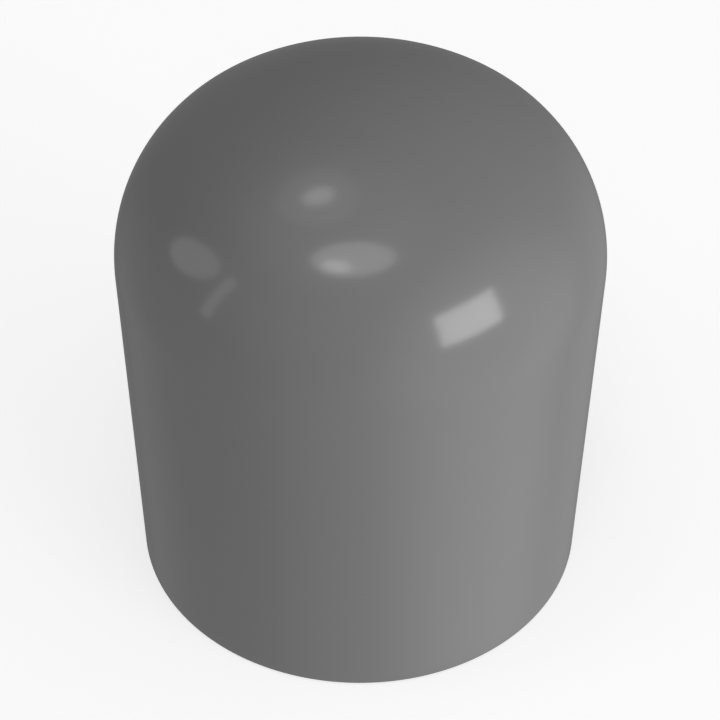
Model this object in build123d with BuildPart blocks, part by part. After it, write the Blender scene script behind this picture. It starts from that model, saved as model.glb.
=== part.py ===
from build123d import *
import os

# End cap for a round tube: a domed cup moulded in one piece, which pushes over the outside
# of the tube's end.
# Millimetres, +Z up. The origin is the centre of the open mouth, on the axis of the bore,
# and the closed, domed end is at the top.

# ---- driving dimensions -------------------------------------------------------------------

tube_diameter = 28.0        # outside diameter of the tube that the cap closes
wall = 2.0                  # the same at the mouth, round the shoulder and over the crown
height = 37.6               # from the mouth to the top of the crown, outside
crown_radius = 19.5         # sphere of the crown, outside
shoulder_radius = 12.0      # blend from the crown into the side, outside
rim_radius = 0.3            # rounding of the mouth's outer edge
lead_in = 0.6               # chamfer inside the mouth, which starts the cap on the tube

# ---- derived sizes ------------------------------------------------------------------------

bore_radius = tube_diameter / 2
side_radius = bore_radius + wall
crown_centre = (0, height - crown_radius)


def domed_section(radius, dome_radius, blend_radius):
    """Half section from the axis outwards: the mouth, the side, the shoulder and the crown."""
    with BuildSketch(Plane.XZ) as section:
        with BuildLine():
            side = Line((radius, 0), (radius, height), mode=Mode.PRIVATE)
            crown = CenterArc(crown_centre, dome_radius, 90, side)
            Polyline(crown @ 1, (radius, 0), (0, 0), crown @ 0)
        make_face()
        corner = section.vertices().sort_by_distance(crown @ 1)[0]
        fillet(corner, radius=blend_radius)
    return section.sketch


# ---- the cap ------------------------------------------------------------------------------

with BuildPart() as end_cap:
    # Outside: a straight side that turns into the crown over the large shoulder.
    outside = domed_section(side_radius, crown_radius, shoulder_radius)
    revolve(outside, axis=Axis.Z)

    # Inside: a straight bore that grips the tube, closed by the same dome one wall further in.
    # The tube comes to rest where the inner shoulder starts.
    inside = domed_section(bore_radius, crown_radius - wall, shoulder_radius - wall)
    revolve(inside, axis=Axis.Z, mode=Mode.SUBTRACT)

    # The rim is the flat ring that the cap stands on: its inner edge is the smaller circle.
    rim = end_cap.faces().sort_by(Axis.Z)[0]
    inner_edge, outer_edge = rim.edges().sort_by(SortBy.RADIUS)
    chamfer(inner_edge, length=lead_in)
    fillet(outer_edge, radius=rim_radius)

end_cap.part.label = "end_cap"

os.makedirs("parts", exist_ok=True)
export_step(end_cap.part, "parts/end_cap.step")
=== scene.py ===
import math

import bmesh
import bpy
from mathutils import Matrix, Vector


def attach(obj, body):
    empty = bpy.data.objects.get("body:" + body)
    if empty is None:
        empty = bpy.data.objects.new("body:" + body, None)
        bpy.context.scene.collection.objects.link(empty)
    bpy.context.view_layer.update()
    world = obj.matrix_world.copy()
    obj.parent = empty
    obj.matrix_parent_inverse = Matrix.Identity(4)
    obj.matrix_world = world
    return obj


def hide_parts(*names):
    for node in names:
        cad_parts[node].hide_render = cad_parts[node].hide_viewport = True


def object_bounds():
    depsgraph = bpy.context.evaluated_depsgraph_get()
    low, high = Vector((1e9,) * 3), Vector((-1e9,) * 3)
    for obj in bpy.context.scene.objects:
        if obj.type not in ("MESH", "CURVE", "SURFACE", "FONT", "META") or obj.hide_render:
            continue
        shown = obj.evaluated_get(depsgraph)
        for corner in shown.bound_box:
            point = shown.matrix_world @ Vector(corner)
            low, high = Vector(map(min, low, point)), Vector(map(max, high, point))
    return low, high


# A domed end cap for a round tube, moulded in mid grey plastic, standing on its open mouth.
# Metres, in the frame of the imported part: the origin is the centre of the mouth, +Z is up.

MM = 0.001

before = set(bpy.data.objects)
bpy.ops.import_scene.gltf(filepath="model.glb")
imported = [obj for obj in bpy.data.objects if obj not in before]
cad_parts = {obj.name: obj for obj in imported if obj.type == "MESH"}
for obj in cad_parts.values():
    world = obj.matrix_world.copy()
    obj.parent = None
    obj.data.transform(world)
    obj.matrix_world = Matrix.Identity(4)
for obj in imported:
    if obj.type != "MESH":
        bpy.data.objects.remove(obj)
cad_low, cad_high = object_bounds()

# ---- sizes --------------------------------------------------------------------------------

SIDE_RADIUS = cad_high.x
HEIGHT = cad_high.z
WALL = 2.0 * MM
CROWN_RADIUS = 19.5 * MM
SHOULDER_RADIUS = 12.0 * MM
RIM_RADIUS = 0.3 * MM       # rounding of the mouth's outer edge
LEAD_IN = 0.6 * MM          # chamfer inside the mouth

SEGMENTS = 288              # facets round the axis
ARC_STEP = math.radians(1.5)    # turn of the dome from one facet to the next
SIDE_STEPS = 24             # facets up the side, and up the bore
LEAD_IN_STEPS = 2
RIM_STEPS = 8               # facets across the small rounding of the rim
SHARP_ANGLE = math.radians(30)  # edges that turn more than this stay crisp


# ---- the moulding -------------------------------------------------------------------------

def arc(centre, radius, start, end, steps):
    """Points (r, z) of an arc in the section plane, angles measured from the outward direction."""
    return [
        (centre[0] + radius * math.cos(start + (end - start) * i / steps),
         centre[1] + radius * math.sin(start + (end - start) * i / steps))
        for i in range(steps + 1)
    ]


def straight(start, end, steps):
    """Points (r, z) from start to end, both included."""
    return [
        (start[0] + (end[0] - start[0]) * i / steps, start[1] + (end[1] - start[1]) * i / steps)
        for i in range(steps + 1)
    ]


def dome(side_radius, crown_radius, shoulder_radius):
    """Section of one face of the dome, from the top of the side up to the apex."""
    crown_centre = HEIGHT - CROWN_RADIUS
    shoulder_r = side_radius - shoulder_radius
    reach = crown_radius - shoulder_radius
    turn = math.acos(shoulder_r / reach)
    shoulder_centre = (shoulder_r, crown_centre + reach * math.sin(turn))
    shoulder = arc(shoulder_centre, shoulder_radius, 0, turn, round(turn / ARC_STEP))
    crown_turn = math.pi / 2 - turn
    crown = arc((0, crown_centre), crown_radius, turn, math.pi / 2, round(crown_turn / ARC_STEP))
    return shoulder + crown[1:]


def cap_section():
    """The whole section of the wall: down the inside, round the rim and up the outside."""
    inside = dome(SIDE_RADIUS - WALL, CROWN_RADIUS - WALL, SHOULDER_RADIUS - WALL)
    outside = dome(SIDE_RADIUS, CROWN_RADIUS, SHOULDER_RADIUS)
    bore_top, side_top = inside[0], outside[0]
    bore = straight(bore_top, (bore_top[0], LEAD_IN), SIDE_STEPS)
    lead_in = straight((bore_top[0], LEAD_IN), (bore_top[0] + LEAD_IN, 0), LEAD_IN_STEPS)
    rounding = arc((SIDE_RADIUS - RIM_RADIUS, RIM_RADIUS), RIM_RADIUS, -math.pi / 2, 0, RIM_STEPS)
    side = straight((SIDE_RADIUS, RIM_RADIUS), side_top, SIDE_STEPS)
    return inside[::-1] + bore[1:] + lead_in[1:] + rounding + side[1:] + outside[1:]


def turned(name, section):
    """A mesh of revolution about Z. Where the section meets the axis, the mesh has one point."""
    mesh = bmesh.new()
    rings = []
    for r, z in section:
        if math.isclose(r, 0, abs_tol=1e-9):
            rings.append([mesh.verts.new((0, 0, z))])
            continue
        angles = [2 * math.pi * i / SEGMENTS for i in range(SEGMENTS)]
        rings.append([mesh.verts.new((r * math.cos(a), r * math.sin(a), z)) for a in angles])
    for lower, upper in zip(rings, rings[1:]):
        for i in range(SEGMENTS):
            j = (i + 1) % SEGMENTS
            if len(lower) == 1:
                mesh.faces.new((lower[0], upper[j], upper[i]))
            elif len(upper) == 1:
                mesh.faces.new((lower[i], lower[j], upper[0]))
            else:
                mesh.faces.new((lower[i], lower[j], upper[j], upper[i]))
    data = bpy.data.meshes.new(name)
    mesh.normal_update()
    mesh.to_mesh(data)
    mesh.free()
    data.shade_smooth()
    piece = bpy.data.objects.new(name, data)
    bpy.context.scene.collection.objects.link(piece)
    return piece


cap = turned("moulded_cap", cap_section())
cap.data.set_sharp_from_angle(angle=SHARP_ANGLE)
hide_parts("end_cap")
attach(cap, "root")

# ---- nodes --------------------------------------------------------------------------------

class Socket:
    """One output of a node. Sums and products of it add Math nodes to the same tree."""

    def __init__(self, nodes, output):
        self.nodes = nodes
        self.output = output

    def combine(self, operation, other):
        """The result of a Math node on this output and a number or another Socket."""
        return self.nodes.add("ShaderNodeMath", {"operation": operation}, {0: self, 1: other})[0]

    def __add__(self, other):
        return self.combine("ADD", other)

    __radd__ = __add__

    def __mul__(self, other):
        return self.combine("MULTIPLY", other)

    __rmul__ = __mul__

    def dot(self, vector):
        """The dot product of this vector and one that is the same everywhere."""
        settings = {"operation": "DOT_PRODUCT"}
        return self.nodes.add("ShaderNodeVectorMath", settings, {0: self, 1: vector})["Value"]


def named(sockets, name):
    """The socket in use that has this name, or the one at this number."""
    if isinstance(name, int):
        return sockets[name]
    return next(socket for socket in sockets if socket.name == name and socket.enabled)


class Node:
    """A node whose outputs are read as Sockets, by name or number."""

    def __init__(self, nodes, node):
        self.nodes = nodes
        self.node = node

    def __getitem__(self, name):
        return Socket(self.nodes, named(self.node.outputs, name))


class Nodes:
    """The node tree of a material or of the world."""

    def __init__(self, owner):
        owner.use_nodes = True
        self.tree = owner.node_tree
        self.tree.nodes.clear()

    def add(self, kind, settings=None, sockets=None):
        """Add a node of this kind: its settings first, then the values or links of its sockets."""
        node = self.tree.nodes.new(kind)
        for name, setting in (settings or {}).items():
            setattr(node, name, setting)
        for name, value in (sockets or {}).items():
            if isinstance(value, Socket):
                self.tree.links.new(value.output, named(node.inputs, name))
            else:
                named(node.inputs, name).default_value = value
        return Node(self, node)


def grey(level):
    """A colour without hue, opaque."""
    return (level, level, level, 1)


# ---- plastic ------------------------------------------------------------------------------

PIGMENT = 0.2               # how much light the plastic throws back
PIGMENT_DRIFT = 0.006       # change of the pigment over the moulding, up and down
PIGMENT_PATCH = 14 * MM
ROUGHNESS = 0.14            # a semi-gloss skin
ROUGHNESS_DRIFT = 0.02      # duller and brighter patches, up and down
ROUGHNESS_PATCH = 5 * MM
WAVE_HEIGHT = 0.003 * MM    # slow hollows that a moulded wall takes as it shrinks
WAVE_LENGTH = 4 * MM
GRAIN_HEIGHT = 0.0003 * MM  # fine grain copied from the mould
GRAIN_SIZE = 0.3 * MM
PLASTIC_IOR = 1.5


def grey_plastic():
    """Semi-gloss moulded plastic: an even grey with a smooth, slightly uneven skin."""
    material = bpy.data.materials.new("grey_plastic")
    nodes = Nodes(material)
    place = nodes.add("ShaderNodeTexCoord")["Object"]

    def noise(size, detail=2.0):
        """Soft noise from 0 to 1 whose patches are about this long."""
        sockets = {"Vector": place, "Scale": 1 / size, "Detail": detail}
        return nodes.add("ShaderNodeTexNoise", None, sockets)["Fac"]

    drift = noise(PIGMENT_PATCH)
    dullness = noise(ROUGHNESS_PATCH, detail=4.0)
    waves = noise(WAVE_LENGTH, detail=0.0)
    grain = noise(GRAIN_SIZE)
    pigment = nodes.add("ShaderNodeMix", {"data_type": "RGBA"}, {
        "Factor": drift,
        "A": grey(PIGMENT - PIGMENT_DRIFT),
        "B": grey(PIGMENT + PIGMENT_DRIFT),
    })
    skin = nodes.add("ShaderNodeBump", None, {
        "Height": waves * WAVE_HEIGHT + grain * GRAIN_HEIGHT,
        "Distance": 1.0,
    })
    surface = nodes.add("ShaderNodeBsdfPrincipled", None, {
        "Base Color": pigment["Result"],
        "Roughness": ROUGHNESS - ROUGHNESS_DRIFT + dullness * (2 * ROUGHNESS_DRIFT),
        "IOR": PLASTIC_IOR,
        "Normal": skin["Normal"],
    })
    nodes.add("ShaderNodeOutputMaterial", None, {"Surface": surface["BSDF"]})
    return material


cap.data.materials.append(grey_plastic())

# ---- floor and backdrop -------------------------------------------------------------------

FLOOR_RADIUS = 300 * MM
BEND_RADIUS = 300 * MM
FLOOR_GAP = 0.01 * MM       # keeps the floor clear of the rim that stands on it
FLOOR_STEPS = 8
BEND_STEPS = 24
SHEET_WHITENESS = 0.65
SHEET_GLOW = 0.59


def pale_sheet():
    """Matt white sheet that glows a little, as on a light table, and is clear from behind."""
    material = bpy.data.materials.new("pale_sheet")
    nodes = Nodes(material)
    front = nodes.add("ShaderNodeBsdfPrincipled", None, {
        "Base Color": grey(SHEET_WHITENESS),
        "Roughness": 1.0,
        "Specular IOR Level": 0.0,
        "Emission Color": grey(1.0),
        "Emission Strength": SHEET_GLOW,
    })
    sheet = nodes.add("ShaderNodeMixShader", None, {
        "Fac": nodes.add("ShaderNodeNewGeometry")["Backfacing"],
        1: front["BSDF"],
        2: nodes.add("ShaderNodeBsdfTransparent")["BSDF"],
    })
    nodes.add("ShaderNodeOutputMaterial", None, {"Surface": sheet["Shader"]})
    return material


def backdrop():
    """A flat floor that sweeps up into a dome. Only the camera sees it: light passes through."""
    flat = straight((0, 0), (FLOOR_RADIUS, 0), FLOOR_STEPS)
    bend = arc((FLOOR_RADIUS, BEND_RADIUS), BEND_RADIUS, -math.pi / 2, 0, BEND_STEPS)
    roof = arc((0, BEND_RADIUS), FLOOR_RADIUS + BEND_RADIUS, 0, math.pi / 2, BEND_STEPS)
    sheet = turned("backdrop", flat + bend[1:] + roof[1:])
    sheet.data.flip_normals()
    sheet.data.materials.append(pale_sheet())
    sheet.location.z = -FLOOR_GAP
    for rays in ("diffuse", "glossy", "transmission", "shadow"):
        setattr(sheet, "visible_" + rays, False)


backdrop()

# ---- light --------------------------------------------------------------------------------

# Angles in degrees: a bearing runs from the front towards the right, a rise up from level.
# A surface of radiance 1 shows as white.

LIGHT_DISTANCE = 3.0
LIT_POINT = Vector((0, 0, 30 * MM))     # inside the dome, where the lights face
ROOM_LEVEL = 0.19           # radiance of the room where no patch reaches


def towards(bearing, rise):
    """Unit vector at this bearing and rise."""
    b, r = math.radians(bearing), math.radians(rise)
    return Vector((math.sin(b) * math.cos(r), -math.cos(b) * math.cos(r), math.sin(r)))


def area_light(name, shape, bearing, rise, width, height, roll, radiance):
    """A flat light that faces the cap. Width and height are the angles that it spans."""
    light = bpy.data.lights.new(name, "AREA")
    light.shape = shape
    light.size = 2 * LIGHT_DISTANCE * math.tan(math.radians(width) / 2)
    light.size_y = 2 * LIGHT_DISTANCE * math.tan(math.radians(height) / 2)
    area = light.size * light.size_y * (math.pi / 4 if shape == "ELLIPSE" else 1)
    light.energy = radiance * math.pi * area
    holder = bpy.data.objects.new(name, light)
    bpy.context.scene.collection.objects.link(holder)
    away = towards(bearing, rise)
    across = Vector((0, 0, 1)).cross(away).normalized()
    upward = away.cross(across)
    turn = Matrix.Rotation(math.radians(roll), 3, away)
    facing = Matrix((turn @ across, turn @ upward, away)).transposed()
    holder.matrix_world = Matrix.Translation(LIT_POINT + away * LIGHT_DISTANCE) @ facing.to_4x4()


area_light("window", "RECTANGLE", bearing=48, rise=8, width=29, height=19, roll=4, radiance=5)
area_light("lamp_shade", "ELLIPSE", bearing=-5, rise=55, width=34, height=20, roll=10, radiance=2)
area_light("lamp_bulb", "ELLIPSE", bearing=-15, rise=50, width=12, height=7, roll=0, radiance=3)
area_light("small_lamp", "ELLIPSE", bearing=-90, rise=76, width=7, height=11, roll=5, radiance=2.4)
area_light("small_lamp_glow", "ELLIPSE", bearing=-85, rise=75, width=26, height=28, roll=0, radiance=0.4)
area_light("left_pane", "ELLIPSE", bearing=-85, rise=15, width=30, height=16, roll=30, radiance=0.9)
area_light("left_strip", "RECTANGLE", bearing=-66, rise=9, width=5, height=27, roll=-15, radiance=1)


def room():
    """The room round the cap: an even low light, brighter in broad patches with soft edges."""
    world = bpy.data.worlds.new("room")
    bpy.context.scene.world = world
    nodes = Nodes(world)
    direction = nodes.add("ShaderNodeTexCoord")["Generated"]

    def patch(bearing, rise, radius, softness, radiance):
        """A round patch that fades over the softness, each side of its radius."""
        light = nodes.add("ShaderNodeMapRange", {"interpolation_type": "SMOOTHSTEP"}, {
            "Value": direction.dot(towards(bearing, rise)),
            "From Min": math.cos(math.radians(radius + softness)),
            "From Max": math.cos(math.radians(max(radius - softness, 0))),
            "To Max": radiance,
        })
        return light["Result"]

    table_by_window = patch(bearing=56, rise=-10, radius=15, softness=45, radiance=0.75)
    table_in_front = patch(bearing=20, rise=-60, radius=40, softness=20, radiance=0.22)
    table_at_left = patch(bearing=-100, rise=-30, radius=15, softness=30, radiance=0.2)
    table_at_right = patch(bearing=115, rise=-30, radius=10, softness=35, radiance=0.2)
    wall_by_window = patch(bearing=60, rise=30, radius=60, softness=60, radiance=0.17)
    ceiling = patch(bearing=-30, rise=70, radius=10, softness=35, radiance=0.3)
    table = table_by_window + table_in_front + table_at_left + table_at_right
    level = ROOM_LEVEL + table + wall_by_window + ceiling
    background = nodes.add("ShaderNodeBackground", None, {"Color": level})
    nodes.add("ShaderNodeOutputWorld", None, {"Surface": background["Background"]})


room()

# ---- camera -------------------------------------------------------------------------------

CAMERA_PLACE = Vector((0, -84.2, 85.9)) * MM
CAMERA_AIM = Vector((0, 0, 15.3)) * MM
CAMERA_TILT = math.radians(0.3)
CAMERA_LENS = 79.3          # focal length and sensor width are in millimetres here
SENSOR_WIDTH = 36.0
NEAREST_SEEN = 5 * MM

lens = bpy.data.cameras.new("camera")
lens.sensor_width = SENSOR_WIDTH
lens.lens = CAMERA_LENS
lens.clip_start = NEAREST_SEEN
camera = bpy.data.objects.new("camera", lens)
bpy.context.scene.collection.objects.link(camera)
aim = (CAMERA_AIM - CAMERA_PLACE).to_track_quat("-Z", "Y").to_matrix().to_4x4()
camera.matrix_world = Matrix.Translation(CAMERA_PLACE) @ aim @ Matrix.Rotation(CAMERA_TILT, 4, "Z")
bpy.context.scene.camera = camera
bpy.context.scene.view_settings.view_transform = "Standard"
